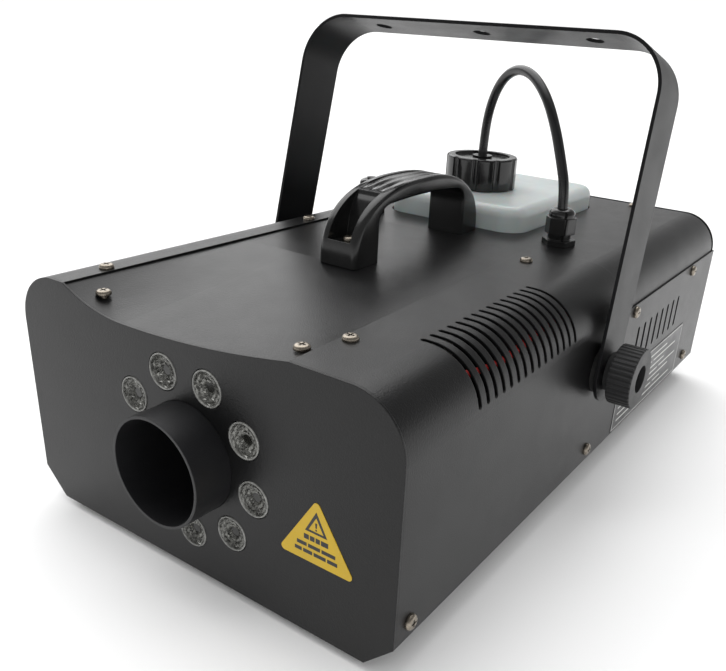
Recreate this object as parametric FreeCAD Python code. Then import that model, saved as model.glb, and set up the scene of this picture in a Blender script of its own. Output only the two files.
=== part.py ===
import FreeCAD, Part
import math
import os

# Fog machine with a carrying handle, a hanging yoke and a lift-out fluid tank.
# Millimetres, +Z up, front panel facing -Y. Shapes are drawn with Y measured back from the
# front panel's face and Z up from the housing's underside, and are moved at the end so that
# the origin is at the bottom centre of the machine's box.

V = FreeCAD.Vector
X_AXIS = V(1, 0, 0)
Y_AXIS = V(0, 1, 0)
Z_AXIS = V(0, 0, 1)

# ---------------------------------------------------------------- driving dimensions
housing_width = 248.0
housing_length = 456.0
housing_height = 135.0
sheet = 1.2
base_chamfer = 15.5
shoulder_radius = 28.0
fit_gap = 0.3                 # running clearance between curved faces on different bodies

# top of the housing
left_seam_x = -87.0           # inner edge of the left cover's top flange
right_seam_front_x = 63.5     # inner edge of the right cover's top flange, at the front
right_seam_rear_x = 55.5      # and at its rear end
covers_top_end_y = 243.0      # where the flanges end and the rear hood begins
hood_overlap = 8.0
hood_rear_y = 451.0
side_plate_top_z = 107.0
dip_x = -45.0                 # lowest point of the hollow front edge of the top
dip_depth = 10.8
dip_end_y = 130.0

# front panel
nozzle_z = 67.0
nozzle_radius = 28.5
nozzle_wall = 1.5
nozzle_reach = 21.5
nozzle_depth = 58.0
led_count = 9
led_ring_radius = 43.0
led_radius = 9.6

# vents
shoulder_slot_count = 15
shoulder_slot_first_y = 59.0
shoulder_slot_pitch = 7.6
shoulder_slot_width = 3.0
shoulder_slot_top_x = 92.0    # upper end of the slots on the right side
left_slot_top_x = 108.0       # and on the left side, where they start lower on the shoulder
shoulder_slot_low_z = 112.0
side_slot_count = 8
side_slot_first_y = 282.0
side_slot_pitch = 12.8
side_slot_width = 3.8
side_slot_low_z = 66.0
side_slot_high_z = 86.0

# screws
screw_head_radius = 4.0
screw_head_height = 2.4
screw_shank_radius = 1.9
screw_shank_length = 6.0
screw_hole_radius = 2.1

# yoke
yoke_pivot_y = 212.6
yoke_pivot_z = 80.6
yoke_tilt = 12.8              # degrees, leaning back, as it stands at rest
yoke_bar_width = 38.0
yoke_bar_thickness = 2.0
yoke_inner_half = 128.0       # at the pivot
yoke_top_inset = 5.0          # how far each arm leans in at the top
yoke_height = 184.0           # pivot to the underside of the crossbar
yoke_bend_radius = 30.0
yoke_hole_spacing = 75.0
yoke_hole_radius = 5.5
pivot_hole_radius = 4.3
stud_radius = 4.0
stud_end_depth = 4.0          # of the stud's end below the knob's outer face
knob_radius = 18.3
knob_length = 14.5
knob_recess_radius = 8.4
knob_recess_depth = 6.5
knob_boss_length = 4.0
knob_boss_radius = 12.0
knob_rib_count = 36
knob_rib_gap = 1.0            # radius of the grooves between the ribs
knob_gap = 1.0                # between the yoke's arm and the knob's boss

# handle
handle_x = -10.5
handle_width = 27.0
handle_front_y = 125.0
handle_length = 142.0
handle_leg = 23.5
handle_rise = 44.0
handle_grip = 10.0
handle_bow = 2.5              # exponent of the outer curve: 2 is an ellipse, more is squarer
handle_seat_height = 13.0     # of the screws above the top cover
handle_pocket_width = 16.0
handle_groove_offset = 6.5
handle_groove_width = 2.4
handle_groove_depth = 1.2
handle_groove_half_length = 40.0

# tank
tank_left_x = -80.0
tank_right_x = 31.0
tank_front_y = 273.0
tank_rear_y = 416.0
tank_floor_z = 20.0
tank_top_z = 150.5
tank_corner = 16.0
tank_top_round = 7.0          # radius of the rounded upper rim
tank_wall = 1.6
tank_play = 1.2
fluid_level_z = 128.0
neck_x = -33.0
neck_y = 332.0
neck_radius = 21.0
neck_top_z = 164.0
cap_radius = 27.0
cap_height = 23.0
cap_wall = 3.0
cap_notch_count = 10
cap_notch_radius = 3.2
cap_notch_offset = 1.6        # of a notch's centre outside the cap's rim

# hose and its gland
hose_radius = 3.4
gland_x = 62.5
gland_y = 272.0
gland_hex_flats = 18.4
gland_round_radius = 10.0     # rounds off the nut's six corners
gland_thread_radius = 7.6
gland_flange_height = 4.0
gland_neck_height = 3.6
gland_nut_height = 11.0
gland_dome_height = 5.4
breather_place = (-82.0, 256.0)

# rear panel
button_count = 4

label_film = 0.25

foot_radius = 9.0
foot_height = 5.0

half_width = housing_width / 2.0
top_z = housing_height
plate_z = top_z - sheet       # upper face of the top cover, one sheet below the flanges


# ---------------------------------------------------------------- helpers
def box(x0, x1, y0, y1, z0, z1):
    return Part.makeBox(x1 - x0, y1 - y0, z1 - z0, V(x0, y0, z0))


def rod(radius, start, end):
    """A cylinder from one point to another."""
    span = end - start
    return Part.makeCylinder(radius, span.Length, start, span)


def tube(outer, inner, start, end):
    return rod(outer, start, end).cut(rod(inner, start, end))


def polygon(points):
    return Part.Face(Part.Wire(Part.makePolygon(points + [points[0]])))


def group(shapes):
    """Several separate solids in one node."""
    return Part.makeCompound(shapes)


def rounded_box(x0, x1, y0, y1, z0, z1, radius):
    """A box with its four upright edges rounded."""
    solid = box(x0, x1, y0, y1, z0, z1)
    upright = [edge for edge in solid.Edges if abs(edge.tangentAt(0).z) > 0.99]
    return solid.makeFillet(radius, upright)


def prism(sides, flats, centre, direction, height, turn=0.0):
    """A regular prism, measured across its flats, standing on centre along direction."""
    radius = flats / 2.0 / math.cos(math.pi / sides)
    points = []
    for i in range(sides):
        angle = math.radians(turn) + 2.0 * math.pi * i / sides
        points.append(V(radius * math.cos(angle), radius * math.sin(angle), 0))
    solid = polygon(points).extrude(V(0, 0, height))
    solid.Placement = FreeCAD.Placement(centre, FreeCAD.Rotation(Z_AXIS, direction))
    return solid


def outline(inset):
    """The housing's cross-section, inset by a distance, as a closed wire at Y = 0."""
    w = half_width - inset
    low = inset
    high = top_z - inset
    c = base_chamfer - inset * (2.0 - math.sqrt(2.0))
    r = shoulder_radius - inset
    bend = r * math.cos(math.pi / 4.0)

    def shoulder(side):
        return Part.Arc(V(side * w, 0, high - r),
                        V(side * (w - r + bend), 0, high - r + bend),
                        V(side * (w - r), 0, high)).toShape()

    corners = [V(-w, 0, high - r), V(-w, 0, low + c), V(-w + c, 0, low),
               V(w - c, 0, low), V(w, 0, low + c), V(w, 0, high - r)]
    edges = [Part.LineSegment(a, b).toShape() for a, b in zip(corners, corners[1:])]
    edges.append(shoulder(1))
    edges.append(Part.LineSegment(V(w - r, 0, high), V(-w + r, 0, high)).toShape())
    edges.append(shoulder(-1))
    return Part.Wire(Part.__sortEdges__(edges))


def section(inset, y0, y1):
    """The whole cross-section as a solid slab between two depths."""
    slab = Part.Face(outline(inset)).extrude(V(0, y1 - y0, 0))
    slab.translate(V(0, y0, 0))
    return slab


def skin(layer, y0, y1):
    """One sheet that follows the cross-section: layer 0 is the outermost."""
    return section(layer * sheet, y0, y1).cut(section((layer + 1) * sheet, y0 - 1, y1 + 1))


def pan_screw(head_radius=screw_head_radius, head_height=screw_head_height):
    """A cross-recessed pan head screw, its seat at the origin and its head along +Z."""
    head = Part.makeCylinder(head_radius, head_height)
    rim = [edge for edge in head.Edges if edge.BoundBox.ZMin > head_height - 0.01]
    head = head.makeFillet(head_height * 0.75, rim[:1])
    arm = head_radius * 0.52
    slot = head_radius * 0.11
    depth = head_height * 0.55
    cross = box(-arm, arm, -slot, slot, head_height - depth, head_height + 1)
    cross = cross.fuse(box(-slot, slot, -arm, arm, head_height - depth, head_height + 1))
    shank = Part.makeCylinder(screw_shank_radius, screw_shank_length, V(0, 0, 0), -Z_AXIS)
    return head.cut(cross).fuse(shank)


def screws_at(places, direction):
    """Screws with their seats at the given places and their heads along direction."""
    solids = []
    for place in places:
        solid = pan_screw()
        solid.Placement = FreeCAD.Placement(place, FreeCAD.Rotation(Z_AXIS, direction))
        solids.append(solid)
    return solids


def drilled(shape, places, direction, radius=screw_hole_radius, reach=12.0):
    """Clearance holes through shape at each screw's place."""
    for place in places:
        start = place + direction * 2.0
        shape = shape.cut(Part.makeCylinder(radius, reach, start, -direction))
    return shape


def round_route(points):
    """A path of straight runs joined by tangent arcs, and the arcs' radii."""
    edges = []
    radii = []
    start = points[0]
    for before, corner, after in zip(points, points[1:], points[2:]):
        into = (corner - before).normalize()
        out = (after - corner).normalize()
        half_turn = into.getAngle(out) / 2.0
        reach = 0.45 * min((corner - before).Length, (after - corner).Length)
        radius = reach / math.tan(half_turn)
        arc_start = corner - into * reach
        arc_end = corner + out * reach
        inward = (out - into).normalize()
        middle = corner + inward * (radius / math.cos(half_turn) - radius)
        edges.append(Part.LineSegment(start, arc_start).toShape())
        edges.append(Part.Arc(arc_start, middle, arc_end).toShape())
        radii.append(radius)
        start = arc_end
    edges.append(Part.LineSegment(start, points[-1]).toShape())
    return Part.Wire(edges), radii


def swept_tube(name, points, radius):
    """A solid tube along a rounded route, with its radii and volume reported."""
    path, radii = round_route(points)
    ring = Part.Wire(Part.makeCircle(radius, points[0], points[1] - points[0]))
    solid = path.makePipeShell([ring], True, False)
    expected = math.pi * radius * radius * path.Length
    print(name, "length %.1f" % path.Length, "smallest radius %.1f" % min(radii),
          "radii", [round(r, 1) for r in radii],
          "volume ratio %.4f" % (solid.Volume / expected))
    return solid


# ---------------------------------------------------------------- screw places
def dip(x, y):
    """How far the top cover lies below its flat part: a hollow at the front edge."""
    fade = max(0.0, 1.0 - y / dip_end_y)
    if x < dip_x:
        reach = dip_x - left_seam_x
    else:
        reach = right_seam_front_x - dip_x
    share = min(1.0, abs(x - dip_x) / reach)
    return dip_depth * fade * (1.0 - share * share)


flange_screw_places = [V(-92.5, 31, top_z), V(-92.5, 198, top_z),
                       V(67.5, 37, top_z), V(67.5, 213, top_z)]
plate_screw_places = [V(-72, 13, plate_z - dip(-76, 13)), V(56, 17.7, plate_z - dip(60, 17.7))]
hood_screw_places = [V(-56, 441, plate_z), V(56, 441, plate_z)]
top_screw_places = flange_screw_places + plate_screw_places + hood_screw_places
side_low_places = [V(half_width, y, 24) for y in (12, 214, 424)]
side_high_places = [V(half_width, y, 102) for y in (267, 397)]
right_side_places = side_low_places + side_high_places
left_side_places = [V(-p.x, p.y, p.z) for p in right_side_places]


# ---------------------------------------------------------------- housing
def base_pan():
    """Folded floor of the housing, with lips standing inside the side covers."""
    floor = skin(0, sheet, housing_length - sheet)
    floor = floor.common(box(-half_width, half_width, 0, housing_length, 0, base_chamfer))
    lips = skin(1, sheet, housing_length - sheet)
    lip_band = box(-half_width, half_width, 0, housing_length, 2.0, base_chamfer + 16.0)
    middle = half_width - base_chamfer + 0.5
    lips = lips.common(lip_band).cut(box(-middle, middle, 0, housing_length, -1, base_chamfer))
    pan = floor.fuse(lips).removeSplitter()
    for i in range(5):
        for x in (-40.0, -20.0, 20.0, 40.0):
            pan = pan.cut(box(x - 7, x + 7, 60 + i * 9.0, 63 + i * 9.0, -1, 3))
    pan = drilled(pan, right_side_places[:3], X_AXIS)
    return drilled(pan, left_side_places[:3], -X_AXIS)


def side_cover(side):
    """Side wall with a rolled shoulder and top flange at the front and a flat plate behind."""
    reach = half_width + 1
    seam = right_seam_front_x if side > 0 else left_seam_x
    seam_rear = right_seam_rear_x if side > 0 else left_seam_x
    layer = skin(0, sheet, housing_length)
    keep = polygon([V(seam, 0, base_chamfer), V(seam_rear, covers_top_end_y, base_chamfer),
                    V(side * reach, covers_top_end_y, base_chamfer),
                    V(side * reach, 0, base_chamfer)])
    front = layer.common(keep.extrude(V(0, 0, top_z)))
    x_in = side * (half_width - 3.0)
    x_out = side * reach
    rear = layer.common(box(min(x_in, x_out), max(x_in, x_out), covers_top_end_y - 1,
                            housing_length, base_chamfer, side_plate_top_z))
    cover = front.fuse(rear).removeSplitter()
    for i in range(shoulder_slot_count):
        y = shoulder_slot_first_y + i * shoulder_slot_pitch
        cover = cover.cut(shoulder_slot(side, y))
    for i in range(side_slot_count):
        cover = cover.cut(side_slot(side, side_slot_first_y + i * side_slot_pitch))
    outward = X_AXIS * side
    cover = drilled(cover, [V(side * p.x, p.y, p.z) for p in right_side_places], outward)
    cover = drilled(cover, flange_screw_places, Z_AXIS)
    return drilled(cover, [V(side * half_width, yoke_pivot_y, yoke_pivot_z)], outward,
                   stud_radius + 0.1)


def shoulder_slot(side, y):
    """A cutter for one vent slot across the rolled shoulder."""
    x0 = side * (shoulder_slot_top_x if side > 0 else left_slot_top_x)
    x1 = side * (half_width + 5)
    half = shoulder_slot_width / 2.0
    cutter = box(min(x0, x1), max(x0, x1), y - half, y + half, shoulder_slot_low_z, top_z + 5)
    upper_end = Part.makeCylinder(half, 12, V(x0, y, top_z - 6), Z_AXIS)
    lower_end = Part.makeCylinder(half, 12, V(side * (half_width - 7), y, shoulder_slot_low_z),
                                  X_AXIS * side)
    return cutter.fuse(upper_end).fuse(lower_end)


def side_slot(side, y):
    """A cutter for one upright round-ended vent slot in the flat side plate."""
    half = side_slot_width / 2.0
    x0 = side * (half_width - 6)
    x1 = side * (half_width + 6)
    cutter = box(min(x0, x1), max(x0, x1), y - half, y + half, side_slot_low_z, side_slot_high_z)
    for z in (side_slot_low_z, side_slot_high_z):
        cutter = cutter.fuse(rod(half, V(x0, y, z), V(x1, y, z)))
    return cutter


def dip_edges(y, offset):
    """The top cover's cross line at a depth: flat wings either side of two arcs."""
    depth = dip_depth * (1.0 - y / dip_end_y) if y < dip_end_y else 0.0
    depth = max(depth, 0.05)
    z = plate_z - offset
    wing = half_width - shoulder_radius - 2.0
    low = V(dip_x, y, z - depth)
    left = V(left_seam_x, y, z)
    right = V(right_seam_front_x, y, z)

    def arc(a, b):
        half = (a.x + b.x) / 2.0
        reach = abs((a if a.x != dip_x else b).x - dip_x)
        drop = depth * (1.0 - ((half - dip_x) / reach) ** 2)
        return Part.Arc(a, V(half, y, z - drop), b).toShape()

    return [Part.LineSegment(V(-wing, y, z), left).toShape(), arc(left, low), arc(low, right),
            Part.LineSegment(right, V(wing, y, z)).toShape()]


def dip_wire(y):
    upper = dip_edges(y, 0.0)
    lower = dip_edges(y, sheet)
    wing = half_width - shoulder_radius - 2.0
    right_end = Part.LineSegment(V(wing, y, plate_z), V(wing, y, plate_z - sheet)).toShape()
    left_end = Part.LineSegment(V(-wing, y, plate_z - sheet), V(-wing, y, plate_z)).toShape()
    return Part.Wire(upper + [right_end] + lower[::-1] + [left_end])


def top_cover():
    """Top plate, hollowed towards its front edge, in one piece with the rear hood."""
    hollow = Part.makeLoft([dip_wire(sheet), dip_wire(dip_end_y)], True, True)
    flat = Part.Face(dip_wire(dip_end_y)).extrude(V(0, covers_top_end_y - dip_end_y, 0))
    hood = skin(1, covers_top_end_y - hood_overlap, hood_rear_y)
    hood = hood.common(box(-half_width, half_width, 0, housing_length,
                           side_plate_top_z - 12.0, top_z))
    cover = hollow.fuse(flat).fuse(hood)
    cover = cover.cut(tank_bay_cutter())
    cover = cover.cut(rod(gland_thread_radius + 0.2, V(gland_x, gland_y, 120),
                          V(gland_x, gland_y, 140)))
    cover = drilled(cover, flange_screw_places, Z_AXIS)
    cover = drilled(cover, plate_screw_places + hood_screw_places, Z_AXIS)
    for side in (-1, 1):
        places = [V(side * p.x, p.y, p.z) for p in side_high_places]
        cover = drilled(cover, places, X_AXIS * side)
    return drilled(cover, handle_screw_places(), Z_AXIS)


def tank_bay_cutter():
    return rounded_box(tank_left_x - tank_play, tank_right_x + tank_play,
                       tank_front_y - tank_play, tank_rear_y + tank_play,
                       100, top_z + 10, tank_corner + tank_play)


def front_panel():
    """Front sheet with a hollow top edge, the nozzle opening and a ring of lens holes."""
    panel = section(0, 0, sheet)
    edge = dip_edges(0, -sheet)[1:3]
    lid = [V(right_seam_front_x, 0, top_z + 5), V(left_seam_x, 0, top_z + 5)]
    closing = [Part.LineSegment(V(right_seam_front_x, 0, top_z), lid[0]).toShape(),
               Part.LineSegment(lid[0], lid[1]).toShape(),
               Part.LineSegment(lid[1], V(left_seam_x, 0, top_z)).toShape()]
    notch = Part.Face(Part.Wire(edge + closing)).extrude(V(0, sheet * 3, 0))
    notch.translate(V(0, -sheet, 0))
    returns = skin(1, sheet, 11.0)
    returns = returns.common(box(-half_width, half_width, 0, 20, 33.0, 100.0))
    panel = panel.cut(notch).fuse(returns)
    panel = panel.cut(rod(nozzle_radius + 0.1, V(0, -5, nozzle_z), V(0, 5, nozzle_z)))
    for centre in led_centres(-5):
        panel = panel.cut(rod(led_radius + 0.1, centre, centre + Y_AXIS * 10))
    panel = drilled(panel, right_side_places[:1], X_AXIS)
    return drilled(panel, left_side_places[:1], -X_AXIS)


def rear_panel():
    """Rear sheet with openings for the inlet, switch, fuse, sockets, display and buttons."""
    y0 = housing_length - sheet
    panel = section(sheet, y0, housing_length)
    returns = skin(1, y0 - 9.0, y0).common(
        box(-half_width, half_width, 0, housing_length, 33.0, 90.0))
    panel = panel.fuse(returns)
    for cutter in rear_cutters():
        panel = panel.cut(cutter)
    return panel


def bulkhead():
    """Cross wall between the hot front bay and the tank bay, open for the fan."""
    y0 = 246.0
    wall = section(3.0 * sheet, y0, y0 + sheet)
    wall = wall.cut(rod(37.0, V(0, y0 - 2, nozzle_z), V(0, y0 + 3, nozzle_z)))
    for x in (-36.0, 36.0):
        for z in (nozzle_z - 36.0, nozzle_z + 36.0):
            wall = wall.fuse(rod(3.0, V(x, fan_y1, z), V(x, y0, z)))
    return wall


def feet():
    solids = []
    for x in (-84, 84):
        for y in (48, 408):
            foot = Part.makeCone(foot_radius, foot_radius - 1.5, foot_height, V(x, y, 0), -Z_AXIS)
            solids.append(foot.cut(rod(3.2, V(x, y, -foot_height), V(x, y, -2.0))))
    return group(solids)


# ---------------------------------------------------------------- nozzle and lights
def led_centres(y):
    """Centres of the lens ring: one lens straight below the nozzle, the rest even."""
    centres = []
    for i in range(led_count):
        angle = math.radians(-90.0 + 360.0 * i / led_count)
        centres.append(V(led_ring_radius * math.cos(angle), y,
                         nozzle_z + led_ring_radius * math.sin(angle)))
    return centres


def nozzle_duct():
    """Thin round outlet duct, flanged behind the front panel."""
    duct = tube(nozzle_radius, nozzle_radius - nozzle_wall, V(0, -nozzle_reach, nozzle_z),
                V(0, nozzle_depth, nozzle_z))
    flange = tube(nozzle_radius + 3.0, nozzle_radius - 0.5, V(0, sheet, nozzle_z),
                  V(0, sheet + 1.5, nozzle_z))
    return duct.fuse(flange)


def led_lenses():
    """Collimator lenses: a shallow dome in front of a cone."""
    solids = []
    for centre in led_centres(0):
        front = rod(led_radius, centre + Y_AXIS * -0.6, centre + Y_AXIS * 2.9)
        rim = [e for e in front.Edges if e.BoundBox.YMax < -0.5]
        front = front.makeFillet(0.5, rim[:1])
        cone = Part.makeCone(led_radius - 1.2, 3.4, 7.0, centre + Y_AXIS * 2.9, Y_AXIS)
        solids.append(front.fuse(cone))
    return group(solids)


def led_holders():
    """Black lens holders standing on the light board."""
    solids = []
    for centre in led_centres(3.1):
        outer = Part.makeCylinder(led_radius - 0.3, 9.4, centre, Y_AXIS)
        inner = Part.makeCone(led_radius - 0.9, 4.2, 9.4, centre, Y_AXIS)
        solids.append(outer.cut(inner))
    return group(solids)


def led_emitters():
    solids = []
    for c in led_centres(0):
        solids.append(box(c.x - 2.6, c.x + 2.6, 10.3, 12.5, c.z - 2.6, c.z + 2.6))
    return group(solids)


def led_board():
    """Ring-shaped aluminium board behind the lenses."""
    y0 = 12.5
    board = rod(led_ring_radius + 12, V(0, y0, nozzle_z), V(0, y0 + 1.6, nozzle_z))
    return board.cut(rod(nozzle_radius + 0.5, V(0, y0 - 1, nozzle_z), V(0, y0 + 3, nozzle_z)))


def warning_label():
    """Three-cornered sticker on the front panel."""
    half = 22.0
    low = 41.0
    high = 75.0
    x = 80.2
    sticker = polygon([V(x - half, 0, low), V(x + half, 0, low), V(x, 0, high)])
    sticker = sticker.extrude(V(0, -label_film, 0))
    upright = [e for e in sticker.Edges if abs(e.tangentAt(0).y) > 0.99]
    return sticker.makeFillet(2.0, upright)


def rating_label():
    """Large data sticker on the right side plate, below the upright vents."""
    x = half_width
    return box(x, x + label_film, 259.5, 403.0, 16.5, 58.0)


# ---------------------------------------------------------------- yoke
def yoke_lean(t):
    """How far in an arm stands at a height above the pivot."""
    return yoke_inner_half - yoke_top_inset * t / yoke_height


def yoke_profile(outset):
    """Corner points and bend middle of half the yoke's front outline, offset outwards."""
    foot = -yoke_bar_width / 2.0
    r = yoke_bend_radius + outset
    top = yoke_height + outset
    x_foot = yoke_lean(foot) + outset
    x_bend = yoke_lean(top - r) + outset
    bend = r * math.cos(math.pi / 4.0)
    points = [V(x_foot, 0, foot), V(x_bend, 0, top - r), V(x_bend - r, 0, top)]
    arc_mid = V(x_bend - r + bend, 0, top - r + bend)
    return points, arc_mid


def yoke():
    """Flat bar bent to a U, with round arm ends and three hanging holes."""
    inner, inner_mid = yoke_profile(0.0)
    outer, outer_mid = yoke_profile(yoke_bar_thickness)

    def flip(p):
        return V(-p.x, p.y, p.z)

    edges = [Part.LineSegment(inner[0], inner[1]).toShape(),
             Part.Arc(inner[1], inner_mid, inner[2]).toShape(),
             Part.LineSegment(inner[2], flip(inner[2])).toShape(),
             Part.Arc(flip(inner[2]), flip(inner_mid), flip(inner[1])).toShape(),
             Part.LineSegment(flip(inner[1]), flip(inner[0])).toShape(),
             Part.LineSegment(flip(inner[0]), flip(outer[0])).toShape(),
             Part.LineSegment(flip(outer[0]), flip(outer[1])).toShape(),
             Part.Arc(flip(outer[1]), flip(outer_mid), flip(outer[2])).toShape(),
             Part.LineSegment(flip(outer[2]), outer[2]).toShape(),
             Part.Arc(outer[2], outer_mid, outer[1]).toShape(),
             Part.LineSegment(outer[1], outer[0]).toShape(),
             Part.LineSegment(outer[0], inner[0]).toShape()]
    half = yoke_bar_width / 2.0
    bar = Part.Face(Part.Wire(edges)).extrude(V(0, yoke_bar_width, 0))
    bar.translate(V(0, -half, 0))
    corner = box(-200, 200, -half - 1, half + 1, -half - 1, 0)
    corner = corner.cut(rod(half, V(-200, 0, 0), V(200, 0, 0)))
    bar = bar.cut(corner)
    bar = bar.cut(rod(pivot_hole_radius, V(-200, 0, 0), V(200, 0, 0)))
    for i in (-1, 0, 1):
        x = i * yoke_hole_spacing
        bar = bar.cut(rod(yoke_hole_radius, V(x, 0, yoke_height - 5), V(x, 0, yoke_height + 10)))
    bar.rotate(V(0, 0, 0), X_AXIS, -yoke_tilt)
    bar.translate(V(0, yoke_pivot_y, yoke_pivot_z))
    return bar


def at_pivot(x):
    return V(x, yoke_pivot_y, yoke_pivot_z)


def friction_washers():
    """Rubber washers between the side covers and the yoke's arms."""
    x0 = half_width + 0.1
    x1 = yoke_inner_half - 0.8
    washers = [tube(15.0, stud_radius + 0.2, at_pivot(s * x0), at_pivot(s * x1)) for s in (-1, 1)]
    return group(washers)


def knob(side):
    """Ribbed clamping knob with a hollow face and a boss towards the yoke's arm."""
    x0 = yoke_inner_half + yoke_bar_thickness + knob_gap
    boss_end = x0 + knob_boss_length
    x1 = boss_end + knob_length
    body = rod(knob_radius, at_pivot(side * boss_end), at_pivot(side * x1))
    rims = [edge for edge in body.Edges if edge.BoundBox.XLength < 0.01]
    body = body.makeFillet(1.0, rims)
    for i in range(knob_rib_count):
        angle = 2.0 * math.pi * i / knob_rib_count
        spot = V(0, math.cos(angle), math.sin(angle)) * (knob_radius + 0.3)
        body = body.cut(rod(knob_rib_gap, at_pivot(side * boss_end) + spot,
                            at_pivot(side * (x1 + 1)) + spot))
    boss = rod(knob_boss_radius, at_pivot(side * x0), at_pivot(side * boss_end))
    hollow = rod(knob_recess_radius, at_pivot(side * (x1 - knob_recess_depth)),
                 at_pivot(side * (x1 + 1)))
    bore = rod(stud_radius + 0.25, at_pivot(side * x0), at_pivot(side * x1))
    return boss.fuse(body).cut(hollow).cut(bore)


def pivot_studs():
    """Threaded studs fixed to the side walls, with a broad head inside."""
    studs = []
    inner_face = half_width - sheet
    knob_face = yoke_inner_half + yoke_bar_thickness + knob_gap + knob_boss_length + knob_length
    end = knob_face - stud_end_depth
    for s in (-1, 1):
        shank = rod(stud_radius, at_pivot(s * inner_face), at_pivot(s * end))
        head = rod(11.0, at_pivot(s * (inner_face - 3.0)), at_pivot(s * inner_face))
        studs.append(shank.fuse(head))
    return group(studs)


# ---------------------------------------------------------------- handle
def handle_screw_places():
    inset = handle_leg / 2.0
    z = plate_z - 1.0
    return [V(handle_x, handle_front_y + inset, z),
            V(handle_x, handle_front_y + handle_length - inset, z)]


def handle_outer(reach):
    """Height of the handle's outer curve at a distance from its middle."""
    share = min(1.0, abs(reach) / (handle_length / 2.0))
    return handle_rise * (1.0 - share ** handle_bow) ** (1.0 / handle_bow)


def arcs_through(points):
    """Arcs through every three points in turn, each starting where the last one ends."""
    return [Part.Arc(points[i], points[i + 1], points[i + 2]).toShape()
            for i in range(0, len(points) - 2, 2)]


def handle_side():
    """The handle's outline in the side view: a bow over a flat-topped opening."""
    half = handle_length / 2.0
    mid = handle_front_y + half
    inner_half = half - handle_leg

    def at(reach, rise):
        return V(0, mid + reach, plate_z + rise)

    steps = 16
    outer = []
    for i in range(steps + 1):
        reach = -half * math.cos(math.pi * i / steps)
        outer.append(at(reach, handle_outer(reach)))
    corner = [(0.0, 24.0), (2.7, 30.0), (10.5, 32.8)]       # reach in from the leg, and rise
    rear = [at(inner_half - reach, rise) for reach, rise in corner]
    front = [at(reach - inner_half, rise) for reach, rise in reversed(corner)]
    crown = at(0.0, handle_rise - handle_grip)
    edges = arcs_through(outer)
    edges.append(Part.LineSegment(outer[-1], at(inner_half, 0)).toShape())
    edges.append(Part.LineSegment(at(inner_half, 0), rear[0]).toShape())
    edges += arcs_through(rear)
    edges += arcs_through([rear[-1], crown, front[0]])
    edges += arcs_through(front)
    edges.append(Part.LineSegment(front[-1], at(-inner_half, 0)).toShape())
    edges.append(Part.LineSegment(at(-inner_half, 0), outer[0]).toShape())
    return Part.Face(Part.Wire(edges))


def handle():
    """Moulded bow handle with three lengthwise grooves and a screw pocket at each end."""
    mid = handle_front_y + handle_length / 2.0
    bow = handle_side().extrude(V(handle_width, 0, 0))
    bow.translate(V(handle_x - handle_width / 2.0, 0, 0))
    for end in (-1, 1):
        bow = bow.cut(handle_pocket(mid, end))
    for offset in (-handle_groove_offset, 0.0, handle_groove_offset):
        bow = bow.cut(handle_groove(bow, handle_x + offset))
    for place in handle_screw_places():
        bow = bow.cut(rod(screw_hole_radius, V(place.x, place.y, plate_z - 1),
                          V(place.x, place.y, plate_z + handle_seat_height + 1)))
    return bow


def handle_pocket(mid, end):
    """Cutter for the screw pocket that opens through the slope at one end of the handle."""
    half = handle_length / 2.0
    seat = handle_seat_height
    side_view = [(half + 5.0, seat), (half - 19.5, seat), (half - 21.5, 25.0), (half - 26.0, 33.0),
                 (half - 28.0, 60.0), (half + 5.0, 60.0)]
    face = polygon([V(0, mid + end * reach, plate_z + rise) for reach, rise in side_view])
    pocket = face.extrude(V(handle_pocket_width, 0, 0))
    pocket.translate(V(handle_x - handle_pocket_width / 2.0, 0, 0))
    return pocket


def handle_groove(bow, x):
    """Cutter for a shallow groove: what a thin slice loses when it is lowered a little."""
    mid = handle_front_y + handle_length / 2.0
    half = handle_groove_width / 2.0
    span = box(x - half, x + half, mid - handle_groove_half_length, mid + handle_groove_half_length,
               plate_z + handle_rise - 12.0, plate_z + handle_rise + 5.0)
    slice_of_bow = bow.common(span)
    lowered = slice_of_bow.copy()
    lowered.translate(V(0, 0, -handle_groove_depth))
    return slice_of_bow.cut(lowered)


def handle_screws():
    seats = [V(p.x, p.y, plate_z + handle_seat_height) for p in handle_screw_places()]
    solids = []
    for seat in seats:
        shank = rod(screw_shank_radius, V(seat.x, seat.y, plate_z - 5.0), seat)
        screw = screws_at([seat], Z_AXIS)[0]
        solids.append(screw.fuse(shank))
    return solids


# ---------------------------------------------------------------- tank, cap, hose, gland
def tank():
    """Blow-moulded translucent canister with a threaded neck."""
    shell = rounded_box(tank_left_x, tank_right_x, tank_front_y, tank_rear_y,
                        tank_floor_z, tank_top_z, tank_corner)
    rim = [e for e in shell.Edges if e.BoundBox.ZMin > tank_top_z - 0.01]
    shell = shell.makeFillet(tank_top_round, rim)
    w = tank_wall
    hollow = rounded_box(tank_left_x + w, tank_right_x - w, tank_front_y + w, tank_rear_y - w,
                         tank_floor_z + w, tank_top_z - w, tank_corner - w)
    rim = [e for e in hollow.Edges if e.BoundBox.ZMin > tank_top_z - w - 0.01]
    hollow = hollow.makeFillet(tank_top_round - w, rim)
    neck = rod(neck_radius, V(neck_x, neck_y, tank_top_z - 1), V(neck_x, neck_y, neck_top_z))
    bore = rod(neck_radius - 3.0, V(neck_x, neck_y, tank_top_z - 10),
               V(neck_x, neck_y, neck_top_z + 1))
    return shell.fuse(neck).cut(hollow).cut(bore)


def fog_fluid():
    w = tank_wall
    body = rounded_box(tank_left_x + w, tank_right_x - w, tank_front_y + w, tank_rear_y - w,
                       tank_floor_z + w, fluid_level_z, tank_corner - w)
    body = body.cut(rod(pickup_radius + 0.05, V(neck_x, neck_y, tank_floor_z),
                        V(neck_x, neck_y, 150)))
    return body.cut(rod(pickup_filter_radius + 0.05, V(neck_x, neck_y, tank_floor_z + 3.9),
                        V(neck_x, neck_y, tank_floor_z + 22.1)))


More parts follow.
